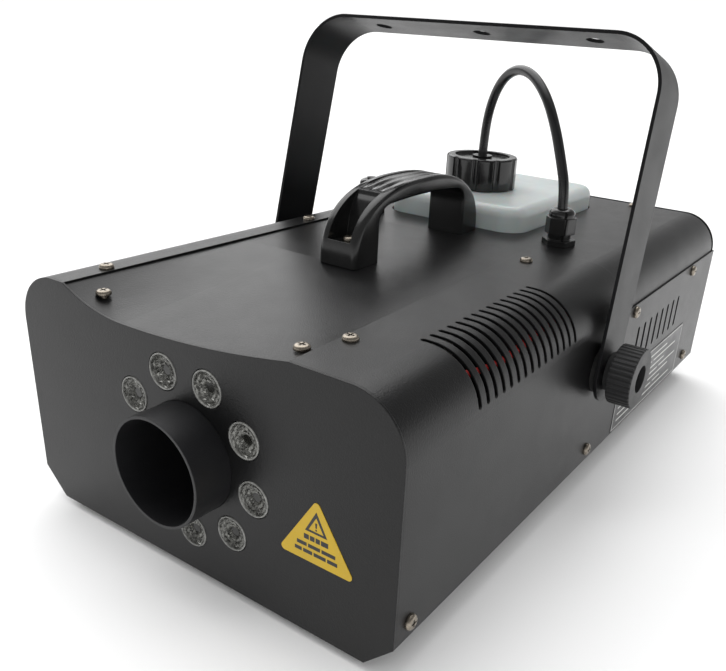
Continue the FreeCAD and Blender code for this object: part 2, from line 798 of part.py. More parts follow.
def tank_tray():
    """Shallow tray that holds the tank's foot, standing on the housing's floor."""
    p = tank_play
    outer = rounded_box(tank_left_x - 2 * p, tank_right_x + 2 * p, tank_front_y - 2 * p,
                        tank_rear_y + 2 * p, sheet, tank_floor_z + 26, tank_corner + p)
    inner = rounded_box(tank_left_x - p, tank_right_x + p, tank_front_y - p,
                        tank_rear_y + p, tank_floor_z, tank_floor_z + 27, tank_corner)
    under = rounded_box(tank_left_x, tank_right_x, tank_front_y, tank_rear_y,
                        sheet - 1, tank_floor_z - 1.5, tank_corner - 2)
    return outer.cut(inner).cut(under)


cap_base_z = tank_top_z + 0.6
cap_top_z = cap_base_z + cap_height
pickup_radius = 3.0
pickup_filter_radius = 7.0


def tank_cap():
    """Screw cap with a notched rim and a hole for the hose at its centre."""
    centre = V(neck_x, neck_y, cap_base_z)
    top = V(neck_x, neck_y, cap_top_z)
    cap = rod(cap_radius, centre, top)
    rim = [e for e in cap.Edges if e.BoundBox.ZMin > cap_top_z - 0.01]
    cap = cap.makeFillet(1.6, rim[:1])
    for i in range(cap_notch_count):
        angle = 2.0 * math.pi * i / cap_notch_count
        spot = V(math.cos(angle), math.sin(angle), 0) * (cap_radius + cap_notch_offset)
        cap = cap.cut(rod(cap_notch_radius, centre + spot - Z_AXIS, top + spot + Z_AXIS))
    dish = Part.makeCylinder(cap_radius - 6.0, 3.0, top - Z_AXIS * 2.0)
    boss = rod(hose_radius + 4.0, top - Z_AXIS * 3.0, top)
    thread_room = rod(neck_radius + fit_gap, centre - Z_AXIS, V(neck_x, neck_y, neck_top_z + 1.0))
    bore = rod(hose_radius + fit_gap, centre - Z_AXIS, top + Z_AXIS)
    return cap.cut(dish).fuse(boss).cut(thread_room).cut(bore)


hose_start_z = neck_top_z + 2.5
gland_flange_top = plate_z + gland_flange_height
gland_neck_top = gland_flange_top + gland_neck_height
gland_nut_top = gland_neck_top + gland_nut_height
gland_top = gland_nut_top + gland_dome_height

# Route of the hose: how far it is from the cap's axis towards the gland, and its height.
hose_route = [(0.0, hose_start_z), (0.0, 190.0), (5.0, 212.0), (17.5, 229.8), (36.5, 238.6),
              (57.5, 236.4), (77.0, 224.3), (91.5, 207.0), (103.0, 187.5), (112.8, 168.0),
              (112.8, gland_neck_top + 1.5)]


def hose():
    """Fluid hose that rises from the cap in an arch and comes down into the gland."""
    across = V(gland_x - neck_x, gland_y - neck_y, 0)
    span = across.Length
    across.normalize()
    last = hose_route[-1][0]
    points = []
    for reach, z in hose_route:
        spot = V(neck_x, neck_y, 0) + across * (reach * span / last)
        points.append(V(spot.x, spot.y, z))
    print("hose route, machine frame", [tuple(round(v, 1) for v in p + shift) for p in points])
    return swept_tube("hose", points, hose_radius)


def pickup_tube():
    """Clear tube from the hose's end down to the tank's floor, with a weighted end."""
    return rod(pickup_radius, V(neck_x, neck_y, tank_floor_z + 14.0),
               V(neck_x, neck_y, hose_start_z))


def pickup_filter():
    return tube(pickup_filter_radius, pickup_radius, V(neck_x, neck_y, tank_floor_z + 4.0),
                V(neck_x, neck_y, tank_floor_z + 22.0))


def at_gland(z):
    return V(gland_x, gland_y, z)


def gland_body():
    """Hexagonal flange and threaded stem through the hood."""
    flange = prism(6, gland_hex_flats + 1.0, at_gland(plate_z), Z_AXIS, gland_flange_height, 15)
    stem = rod(gland_thread_radius, at_gland(plate_z - 9.0), at_gland(gland_neck_top + 0.1))
    bore = rod(hose_radius, at_gland(plate_z - 10), at_gland(gland_top))
    return flange.fuse(stem).cut(bore)


def rounded_nut(x, y, start_z):
    """A hexagon with its corners rounded off, under a domed end."""
    start = V(x, y, start_z)
    flats = prism(6, gland_hex_flats, start, Z_AXIS, gland_nut_top - start_z, 15)
    flats = flats.common(rod(gland_round_radius, start, V(x, y, gland_nut_top)))
    dome = rod(gland_hex_flats / 2.0 - 0.5, V(x, y, gland_nut_top - 1.0), V(x, y, gland_top))
    crown = [edge for edge in dome.Edges if edge.BoundBox.ZMin > gland_top - 0.01]
    return flats.fuse(dome.makeFillet(3.8, crown[:1]))


def gland_nut():
    """Clamping nut: six flats below a dome with a mouth for the hose."""
    nut = rounded_nut(gland_x, gland_y, gland_neck_top + fit_gap)
    return nut.cut(rod(hose_radius + fit_gap, at_gland(plate_z), at_gland(gland_top + 1)))


def breather_gland():
    """A second gland of the same kind, closed with a plug, at the hood's front left corner."""
    x, y = breather_place
    flange = prism(6, gland_hex_flats + 1.0, V(x, y, plate_z), Z_AXIS, gland_flange_height, 15)
    neck = rod(gland_thread_radius, V(x, y, plate_z), V(x, y, gland_neck_top + 1.0))
    plug = rod(hose_radius, V(x, y, gland_nut_top), V(x, y, gland_top + 1.2))
    return flange.fuse(neck).fuse(rounded_nut(x, y, gland_neck_top)).fuse(plug)


def gland_locknut():
    nut = prism(6, 18.0, at_gland(plate_z - sheet - 4.5), Z_AXIS, 4.5, 0)
    return nut.cut(rod(gland_thread_radius, at_gland(plate_z - 10), at_gland(plate_z)))


# ---------------------------------------------------------------- hot bay
heater_y0 = 86.0
heater_y1 = 196.0
heater_half = 27.0
heater_low_z = 40.0
heater_high_z = 94.0


def heater_block():
    """Cast aluminium heat exchanger with a bore for the fluid coil's outlet."""
    block = box(-heater_half, heater_half, heater_y0, heater_y1, heater_low_z, heater_high_z)
    block = block.makeFillet(4.0, [e for e in block.Edges if abs(e.tangentAt(0).y) > 0.99])
    return block.cut(rod(4.0, V(0, heater_y0 - 1, nozzle_z), V(0, heater_y0 + 30, nozzle_z)))


def heater_wrap():
    """Fibre blanket round the heater block."""
    g = 8.0
    h = heater_half
    outer = box(-h - g, h + g, heater_y0 + 6, heater_y1 - 6, heater_low_z - g, heater_high_z + g)
    outer = outer.makeFillet(6.0, [e for e in outer.Edges if abs(e.tangentAt(0).y) > 0.99])
    return outer.cut(box(-h, h, heater_y0, heater_y1, heater_low_z, heater_high_z))


def heater_straps():
    """Steel saddles that hang the wrapped heater on posts from the floor."""
    solids = []
    reach = heater_half + 8.0
    for y in (heater_y0 + 20.0, heater_y1 - 32.0):
        strap = box(-reach - 1.5, reach + 1.5, y, y + 12, sheet, heater_high_z + 9.5)
        strap = strap.cut(box(-reach, reach, y - 1, y + 13, heater_low_z - 8.0, heater_high_z + 8.0))
        strap = strap.cut(box(-reach + 4, reach - 4, y - 1, y + 13, 0, heater_low_z - 9.5))
        solids.append(strap)
    return group(solids)


def heater_outlet():
    """Brass jet from the heater block into the duct."""
    stem = rod(4.0, V(0, 50.0, nozzle_z), V(0, heater_y0 + 18, nozzle_z))
    hexagon = prism(6, 14.0, V(0, 62.0, nozzle_z), Y_AXIS, 10.0)
    tip = Part.makeCone(2.0, 6.0, 6.0, V(0, 50.0, nozzle_z), Y_AXIS)
    bore = rod(1.2, V(0, 48, nozzle_z), V(0, heater_y0, nozzle_z))
    return stem.fuse(hexagon).fuse(tip).cut(bore)


def thermostat():
    """Round cut-out on a bracket above the right side of the heater."""
    z0 = heater_high_z + 10.0
    disc = rod(8.0, V(20, heater_y0 + 45, z0), V(20, heater_y0 + 45, z0 + 7.0))
    cup = rod(5.5, V(20, heater_y0 + 45, z0 + 7.0), V(20, heater_y0 + 45, z0 + 12.0))
    return disc.fuse(cup)


def earth_bracket():
    """Brass earth strip under the shoulder vents, with its screw."""
    strip = box(84, 108, 50, 60, 101.0, 102.5)
    post = box(106.5, 108, 50, 60, 70.0, 101.0)
    return strip.fuse(post).fuse(rod(3.5, V(96, 55, 102.5), V(96, 55, 106.0)))


def heater_wires():
    """Red heat-proof leads along the right shoulder to the bulkhead."""
    solids = []
    for i in range(2):
        x = 101.0 - 5.0 * i
        z = 108.0 - 4.0 * i
        points = [V(62 - 4 * i, 70 + 6 * i, 96), V(84 - 4 * i, 72 + 6 * i, z), V(x, 90, z + 3),
                  V(x + 1, 130, z - 2), V(x - 3, 175, z), V(x - 7, 215, z - 4), V(x - 8, 240, z - 5)]
        solids.append(swept_tube("heater wire", points, 1.6))
    return group(solids)


fan_y0 = 216.0
fan_y1 = 241.0
fan_half = 40.0
fan_bore = 37.5


def fan_frame():
    """Square axial fan housing with a hub held by four spokes."""
    frame = box(-fan_half, fan_half, fan_y0, fan_y1, nozzle_z - fan_half, nozzle_z + fan_half)
    frame = frame.makeFillet(4.0, [e for e in frame.Edges if abs(e.tangentAt(0).y) > 0.99])
    frame = frame.cut(rod(fan_bore, V(0, fan_y0 - 1, nozzle_z), V(0, fan_y1 + 1, nozzle_z)))
    spokes = rod(16.0, V(0, fan_y1 - 4, nozzle_z), V(0, fan_y1, nozzle_z))
    for turn in (45, 135):
        bar = box(-fan_half + 2, fan_half - 2, fan_y1 - 4, fan_y1, nozzle_z - 2, nozzle_z + 2)
        bar.rotate(V(0, 0, nozzle_z), Y_AXIS, turn)
        spokes = spokes.fuse(bar)
    pin = rod(2.0, V(0, fan_y0 + 4, nozzle_z), V(0, fan_y1 - 3, nozzle_z))
    return frame.fuse(spokes).fuse(pin)


def fan_rotor():
    """Seven-bladed rotor running on the frame's pin."""
    y0 = fan_y0 + 2.0
    y1 = fan_y1 - 5.0
    hub = rod(15.5, V(0, y0, nozzle_z), V(0, y1, nozzle_z))
    blade_count = 7
    for i in range(blade_count):
        blade = box(13.0, fan_bore - 1.5, -0.8, 0.8, -8.5, 8.5)
        blade.rotate(V(25, 0, 0), X_AXIS, 48)
        blade.Placement = FreeCAD.Placement(V(0, (y0 + y1) / 2.0, nozzle_z),
                                            FreeCAD.Rotation(X_AXIS, 90)).multiply(blade.Placement)
        blade.rotate(V(0, 0, nozzle_z), Y_AXIS, 360.0 * i / blade_count)
        hub = hub.fuse(blade)
    return hub.cut(rod(2.05, V(0, y0 - 1, nozzle_z), V(0, y1 + 1, nozzle_z)))


# ---------------------------------------------------------------- pump and electrics
pump_x = 78.0
pump_z = 36.0
pump_y0 = 292.0


def pump_body():
    """Solenoid piston pump: a square coil between round ends."""
    coil = box(pump_x - 18, pump_x + 18, pump_y0 + 14, pump_y0 + 56, pump_z - 18, pump_z + 18)
    coil = coil.makeFillet(3.0, [e for e in coil.Edges if abs(e.tangentAt(0).y) > 0.99])
    ends = rod(10.0, V(pump_x, pump_y0, pump_z), V(pump_x, pump_y0 + 74, pump_z))
    return coil.fuse(ends)


def pump_bracket():
    plate = box(pump_x - 24, pump_x + 24, pump_y0 + 10, pump_y0 + 60, sheet, sheet + 1.5)
    walls = box(pump_x - 20, pump_x + 20, pump_y0 + 10, pump_y0 + 11.5, sheet, pump_z + 16)
    walls = walls.fuse(box(pump_x - 20, pump_x + 20, pump_y0 + 58.5, pump_y0 + 60, sheet, pump_z + 16))
    walls = walls.cut(rod(10.1, V(pump_x, pump_y0, pump_z), V(pump_x, pump_y0 + 80, pump_z)))
    return plate.fuse(walls)


def suction_tube():
    """Silicone tube from under the gland down to the pump's rear end."""
    points = [V(gland_x, gland_y, plate_z - 9.0), V(gland_x, gland_y, 104), V(65, 262, 82),
              V(70, 258, 60), V(76, 265, 43), V(pump_x, 278, pump_z), V(pump_x, pump_y0, pump_z)]
    return swept_tube("suction tube", points, 2.8)


def power_board():
    """Mains board on posts behind the pump."""
    board = box(40, 106, 370, 440, 24.0, 25.6)
    posts = [rod(2.5, V(x, y, sheet), V(x, y, 24.0)) for x in (45, 101) for y in (376, 434)]
    for post in posts:
        board = board.fuse(post)
    return board


def power_parts():
    """Transformer, capacitors, relay and terminal block on the mains board."""
    z = 25.6
    return group([box(46, 74, 402, 430, z, z + 26),
                  rod(7.0, V(92, 384, z), V(92, 384, z + 24)),
                  rod(7.0, V(75, 384, z), V(75, 384, z + 24)),
                  box(82, 100, 402, 428, z, z + 16),
                  box(44, 60, 380, 392, z, z + 12)])


# ---------------------------------------------------------------- rear panel fittings
inlet_x = -78.0
inlet_z = 40.0
switch_x = -36.0
fuse_x = -36.0
fuse_z = 72.0
socket_z = 40.0
socket_xs = (14.0, 56.0)
display_x0 = 14.0
display_x1 = 62.0
display_z0 = 92.0
display_z1 = 112.0
button_z = 84.0
button_radius = 3.4
button_pitch = 13.0
button_travel = 1.2


def button_centres():
    first = (display_x0 + display_x1) / 2.0 - button_pitch * (button_count - 1) / 2.0
    return [first + button_pitch * i for i in range(button_count)]


def rear_cutters():
    """Everything that is cut out of the rear panel."""
    y0 = housing_length - 5
    y1 = housing_length + 5
    cutters = [box(inlet_x - 13.7, inlet_x + 13.7, y0, y1, inlet_z - 10, inlet_z + 10),
               box(switch_x - 6.6, switch_x + 6.6, y0, y1, inlet_z - 9.6, inlet_z + 9.6),
               rod(6.2, V(fuse_x, y0, fuse_z), V(fuse_x, y1, fuse_z)),
               box(display_x0, display_x1, y0, y1, display_z0, display_z1)]
    for x in socket_xs:
        cutters.append(rod(11.8, V(x, y0, socket_z), V(x, y1, socket_z)))
    for x in button_centres():
        cutters.append(rod(button_radius + 0.3, V(x, y0, button_z), V(x, y1, button_z)))
    for x in (inlet_x - 20, inlet_x + 20):
        cutters.append(rod(1.7, V(x, y0, inlet_z), V(x, y1, inlet_z)))
    return cutters


def mains_inlet():
    """Three-pole appliance inlet with a screwed flange."""
    y = housing_length
    body = box(inlet_x - 13.5, inlet_x + 13.5, y - 22, y, inlet_z - 9.8, inlet_z + 9.8)
    flange = box(inlet_x - 25, inlet_x + 25, y, y + 2.5, inlet_z - 12, inlet_z + 12)
    upright = [e for e in flange.Edges if abs(e.tangentAt(0).y) > 0.99]
    flange = flange.makeFillet(5.0, upright)
    well = box(inlet_x - 12, inlet_x + 12, y - 14, y + 4, inlet_z - 8, inlet_z + 8)
    upright = [e for e in well.Edges if abs(e.tangentAt(0).y) > 0.99 and e.BoundBox.ZMin > inlet_z]
    well = well.makeChamfer(4.5, upright)
    inlet = body.fuse(flange).cut(well)
    for x in (inlet_x - 20, inlet_x + 20):
        inlet = inlet.cut(rod(1.7, V(x, y - 1, inlet_z), V(x, y + 4, inlet_z)))
    return inlet


def contact_pins():
    """Metal pins: three flat ones in the mains inlet, three round ones in each socket."""
    y = housing_length
    solids = []
    for x, z in ((-7.0, -2.5), (0.0, 2.5), (7.0, -2.5)):
        solids.append(box(inlet_x + x - 1, inlet_x + x + 1, y - 14, y - 2,
                          inlet_z + z - 2, inlet_z + z + 2))
    for x in socket_xs:
        for turn in (90, 210, 330):
            angle = math.radians(turn)
            px = x + 4.8 * math.cos(angle)
            pz = socket_z + 4.8 * math.sin(angle)
            solids.append(rod(1.2, V(px, y - 13, pz), V(px, y - 4, pz)))
    return group(solids)


def switch_frame():
    y = housing_length
    frame = box(switch_x - 8.0, switch_x + 8.0, y, y + 1.6, inlet_z - 11.5, inlet_z + 11.5)
    body = box(switch_x - 6.5, switch_x + 6.5, y - 16, y, inlet_z - 9.5, inlet_z + 9.5)
    frame = frame.fuse(body)
    return frame.cut(box(switch_x - 5.3, switch_x + 5.3, y - 13, y + 3, inlet_z - 8.6, inlet_z + 8.6))


switch_axis_y = housing_length - 5.0


def power_rocker():
    """Rocker that tips about a pin across the switch."""
    y = housing_length
    key = rod(6.8, V(switch_x - 4.8, switch_axis_y, inlet_z), V(switch_x + 4.8, switch_axis_y, inlet_z))
    dish_y = y + 12.5
    dish = rod(12.0, V(switch_x - 6, dish_y, inlet_z), V(switch_x + 6, dish_y, inlet_z))
    paddle = box(switch_x - 4.8, switch_x + 4.8, y - 4.0, y + 3.6, inlet_z - 7.6, inlet_z + 7.6)
    return key.fuse(paddle).cut(dish)


def fuse_holder():
    y = housing_length
    rim = tube(8.0, 5.2, V(fuse_x, y, fuse_z), V(fuse_x, y + 1.8, fuse_z))
    barrel = tube(6.1, 5.2, V(fuse_x, y - 30, fuse_z), V(fuse_x, y, fuse_z))
    return rim.fuse(barrel)


def fuse_cap():
    """Turn-and-pull fuse carrier with a screwdriver slot."""
    y = housing_length
    plug = rod(4.9, V(fuse_x, y - 27, fuse_z), V(fuse_x, y + 2.1, fuse_z))
    head = rod(6.6, V(fuse_x, y + 2.1, fuse_z), V(fuse_x, y + 6.0, fuse_z))
    slot = box(fuse_x - 5.0, fuse_x + 5.0, y + 4.6, y + 7, fuse_z - 0.7, fuse_z + 0.7)
    return plug.fuse(head).cut(slot)


def data_sockets():
    """Round panel sockets for the data link, on square-cornered flanges."""
    y = housing_length
    solids = []
    for x in socket_xs:
        flange = rounded_plate(x, socket_z, 26.0, 31.0, y, 2.2, 4.0)
        shell = rod(11.6, V(x, y - 18, socket_z), V(x, y, socket_z))
        well = rod(9.6, V(x, y - 13, socket_z), V(x, y + 4, socket_z))
        solids.append(flange.fuse(shell).cut(well))
    return group(solids)


def rounded_plate(x, z, width, height, y, thickness, radius):
    plate = box(x - width / 2, x + width / 2, y, y + thickness, z - height / 2, z + height / 2)
    upright = [e for e in plate.Edges if abs(e.tangentAt(0).y) > 0.99]
    return plate.makeFillet(radius, upright)


def display_window():
    y = housing_length
    x0 = display_x0
    x1 = display_x1
    frame = box(x0 - 2, x1 + 2, y, y + 1.2, display_z0 - 2, display_z1 + 2)
    plug = box(x0 + 0.1, x1 - 0.1, y - sheet, y, display_z0 + 0.1, display_z1 - 0.1)
    return frame.fuse(plug)


def display_module():
    y1 = housing_length - sheet
    return box(display_x0 + 1, display_x1 - 1, y1 - 7.0, y1 - 0.1, display_z0 + 1, display_z1 - 1)


def menu_button(x):
    y = housing_length
    cap = rod(button_radius, V(x, y - sheet - 2.6, button_z), V(x, y + 2.2, button_z))
    rim = [e for e in cap.Edges if e.BoundBox.YMin > y + 2.1]
    cap = cap.makeFillet(0.8, rim[:1])
    collar = rod(button_radius + 1.2, V(x, y - sheet - 2.6, button_z), V(x, y - sheet - 1.4, button_z))
    return cap.fuse(collar)


# ---------------------------------------------------------------- all nodes
def machine_shift(solids):
    """The move that puts the origin at the bottom centre of everything but the hose."""
    whole = FreeCAD.BoundBox()
    for solid in solids:
        whole.add(solid.BoundBox)
    return V(-(whole.XMin + whole.XMax) / 2.0, -(whole.YMin + whole.YMax) / 2.0, -whole.ZMin)


nodes = {
    "base_pan": base_pan(),
    "front_panel": front_panel(),
    "rear_panel": rear_panel(),
    "left_cover": side_cover(-1),
    "right_cover": side_cover(1),
    "top_cover": top_cover(),
    "bulkhead": bulkhead(),
    "rubber_feet": feet(),
    "nozzle_duct": nozzle_duct(),
    "led_lenses": led_lenses(),
    "led_holders": led_holders(),
    "led_emitters": led_emitters(),
    "led_board": led_board(),
    "warning_label": warning_label(),
    "rating_label": rating_label(),
    "yoke": yoke(),
    "friction_washers": friction_washers(),
    "pivot_studs": pivot_studs(),
    "left_knob": knob(-1),
    "right_knob": knob(1),
    "handle": handle(),
    "tank": tank(),
    "fog_fluid": fog_fluid(),
    "tank_tray": tank_tray(),
    "tank_cap": tank_cap(),
    "pickup_tube": pickup_tube(),
    "pickup_filter": pickup_filter(),
    "gland_body": gland_body(),
    "gland_nut": gland_nut(),
    "gland_locknut": gland_locknut(),
    "breather_gland": breather_gland(),
    "top_screws": group(screws_at(top_screw_places, Z_AXIS) + handle_screws()),
    "side_screws": group(screws_at(right_side_places, X_AXIS) + screws_at(left_side_places, -X_AXIS)),
    "heater_block": heater_block(),
    "heater_wrap": heater_wrap(),
    "heater_straps": heater_straps(),
    "heater_outlet": heater_outlet(),
    "thermostat": thermostat(),
    "earth_bracket": earth_bracket(),
    "heater_wires": heater_wires(),
    "fan_frame": fan_frame(),
    "fan_rotor": fan_rotor(),
    "pump_body": pump_body(),
    "pump_bracket": pump_bracket(),
    "suction_tube": suction_tube(),
    "circuit_boards": group([power_board(), display_module()]),
    "power_parts": power_parts(),
    "mains_inlet": mains_inlet(),
    "contact_pins": contact_pins(),
    "switch_frame": switch_frame(),
    "power_rocker": power_rocker(),
    "fuse_holder": fuse_holder(),
    "fuse_cap": fuse_cap(),
    "data_sockets": data_sockets(),
    "display_window": display_window(),
}
for number, x in enumerate(button_centres(), 1):
    nodes["menu_button_%d" % number] = menu_button(x)

shift = machine_shift(nodes.values())
nodes["hose"] = hose()

os.makedirs("parts", exist_ok=True)
for name, shape in nodes.items():
    placed = shape.copy()
    placed.translate(shift)
    if not placed.isValid():
        print("not valid:", name)
    placed.exportStep("parts/%s.step" % name)
print("nodes", len(nodes), "shift", shift)
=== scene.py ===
import math

import bmesh
import bpy
from mathutils import Matrix, Vector

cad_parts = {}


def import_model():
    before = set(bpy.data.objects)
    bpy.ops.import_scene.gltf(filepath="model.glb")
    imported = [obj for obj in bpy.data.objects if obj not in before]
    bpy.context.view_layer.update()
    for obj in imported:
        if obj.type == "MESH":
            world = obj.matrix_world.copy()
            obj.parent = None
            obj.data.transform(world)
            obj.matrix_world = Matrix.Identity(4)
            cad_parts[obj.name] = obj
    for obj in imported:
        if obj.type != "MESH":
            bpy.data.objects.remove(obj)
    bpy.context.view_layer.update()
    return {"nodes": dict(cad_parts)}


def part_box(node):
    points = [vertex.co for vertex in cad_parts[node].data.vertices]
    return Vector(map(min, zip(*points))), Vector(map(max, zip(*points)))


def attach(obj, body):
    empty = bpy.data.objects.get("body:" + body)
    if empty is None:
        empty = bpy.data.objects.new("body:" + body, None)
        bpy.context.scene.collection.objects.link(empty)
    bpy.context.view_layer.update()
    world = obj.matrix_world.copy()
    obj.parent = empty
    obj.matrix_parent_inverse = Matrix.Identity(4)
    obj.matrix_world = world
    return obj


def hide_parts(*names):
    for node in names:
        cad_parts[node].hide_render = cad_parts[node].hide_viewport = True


# Looks of the fog machine: a black powder-coated housing with a yoke, a bow handle, a tank with
# its hose, and a ring of lenses round the nozzle. Metres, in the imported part's own frame.

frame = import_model()
nodes = frame["nodes"]
MM = 0.001


# ---------------------------------------------------------------- camera
def camera():
    """A wide view from close by, high at the front on the gland's side."""
    right = Vector((0.82300, 0.56521, 0.05638))
    up = Vector((-0.27836, 0.31467, 0.90750))
    back = Vector((0.49520, -0.76256, 0.41633))
    place = Vector((0.26364, -0.44556, 0.26943))
    turn = Matrix((right, up, back)).transposed().to_4x4()
    data = bpy.data.cameras.new("camera")
    data.lens = 39.37
    data.sensor_width = 36.0
    data.shift_x = -0.0465
    data.shift_y = 0.0669
    data.clip_start = 0.01
    eye = bpy.data.objects.new("camera", data)
    bpy.context.scene.collection.objects.link(eye)
    eye.matrix_world = Matrix.Translation(place) @ turn
    bpy.context.scene.camera = eye


camera()

# ---------------------------------------------------------------- hose
# The route's points are in millimetres here, and in metres on the curve.
HOSE_DIAMETER = 6.8 * MM
hose_route = [(-33.0, 111.8, 171.5), (-33.0, 111.8, 195.0), (-28.8, 109.1, 217.0),
              (-18.2, 102.4, 234.8), (-2.1, 92.3, 243.6), (15.7, 81.2, 241.4),
              (32.2, 70.8, 229.3), (44.5, 63.1, 212.0), (54.2, 57.0, 192.5),
              (62.5, 51.8, 173.0), (62.5, 51.8, 147.9)]


def link(obj):
    bpy.context.scene.collection.objects.link(obj)
    return obj


def hose():
    """The fluid hose. Small point radii keep the curve's own bounding box to its real size."""
    curve = bpy.data.curves.new("tank_hose", "CURVE")
    curve.dimensions = "3D"
    spline = curve.splines.new("NURBS")
    spline.points.add(len(hose_route) - 1)
    for point, place in zip(spline.points, hose_route):
        point.co = (place[0] * MM, place[1] * MM, place[2] * MM, 1.0)
        point.radius = MM
    spline.order_u = 3
    spline.use_endpoint_u = True
    spline.resolution_u = 24
    curve.bevel_depth = HOSE_DIAMETER / 2.0 / MM
    curve.bevel_resolution = 8
    curve.use_fill_caps = True
    piece = link(bpy.data.objects.new("tank_hose", curve))
    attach(piece, "housing")
    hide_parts("hose")
    return piece


tank_hose = hose()


# ---------------------------------------------------------------- materials
# The part of a noise's range, around its middle, that a colour or roughness runs over.
NOISE_LOW = 0.3
NOISE_HIGH = 0.7
LEAST_ROUGHNESS = 0.02


def material(name, colour, rough, vary=0.2, vary_scale=25.0, rough_vary=0.06, rough_scale=60.0,
             grain=0.0, grain_scale=700.0, edge=0.0, **sockets):
    """A surface whose colour, roughness and relief drift over it, by noise in object space.

    grain is the relief's height and edge the radius that its edges look rounded by, in metres.
    Anything else is a number or colour set on the shader's own socket.
    """
    surface = bpy.data.materials.new(name)
    surface.use_nodes = True
    tree = surface.node_tree
    shader = tree.nodes["Principled BSDF"]
    place = tree.nodes.new("ShaderNodeTexCoord")

    def noise(scale, detail):
        node = tree.nodes.new("ShaderNodeTexNoise")
        node.inputs["Scale"].default_value = scale
        node.inputs["Detail"].default_value = detail
        tree.links.new(place.outputs["Object"], node.inputs["Vector"])
        return node.outputs["Fac"]

    ramp = tree.nodes.new("ShaderNodeValToRGB")
    ramp.color_ramp.elements[0].position = NOISE_LOW
    ramp.color_ramp.elements[1].position = NOISE_HIGH
    ramp.color_ramp.elements[0].color = [c * (1.0 - vary) for c in colour] + [1.0]
    ramp.color_ramp.elements[1].color = [min(1.0, c * (1.0 + vary)) for c in colour] + [1.0]
    tree.links.new(noise(vary_scale, 6.0), ramp.inputs["Fac"])
    tree.links.new(ramp.outputs["Color"], shader.inputs["Base Color"])

    span = tree.nodes.new("ShaderNodeMapRange")
    span.inputs["From Min"].default_value = NOISE_LOW
    span.inputs["From Max"].default_value = NOISE_HIGH
    span.inputs["To Min"].default_value = max(LEAST_ROUGHNESS, rough - rough_vary)
    span.inputs["To Max"].default_value = min(1.0, rough + rough_vary)
    tree.links.new(noise(rough_scale, 4.0), span.inputs["Value"])
    tree.links.new(span.outputs["Result"], shader.inputs["Roughness"])

    relief = None
    if edge > 0.0:
        relief = tree.nodes.new("ShaderNodeBevel")
        relief.samples = 4
        relief.inputs["Radius"].default_value = edge
    if grain > 0.0:
        bump = tree.nodes.new("ShaderNodeBump")
        bump.inputs["Strength"].default_value = 1.0
        bump.inputs["Distance"].default_value = grain
        tree.links.new(noise(grain_scale, 3.0), bump.inputs["Height"])
        if relief is not None:
            tree.links.new(relief.outputs["Normal"], bump.inputs["Normal"])
        relief = bump
    if relief is not None:
        tree.links.new(relief.outputs["Normal"], shader.inputs["Normal"])
    for socket, value in sockets.items():
        shader.inputs[socket.replace("_", " ")].default_value = value
    return surface


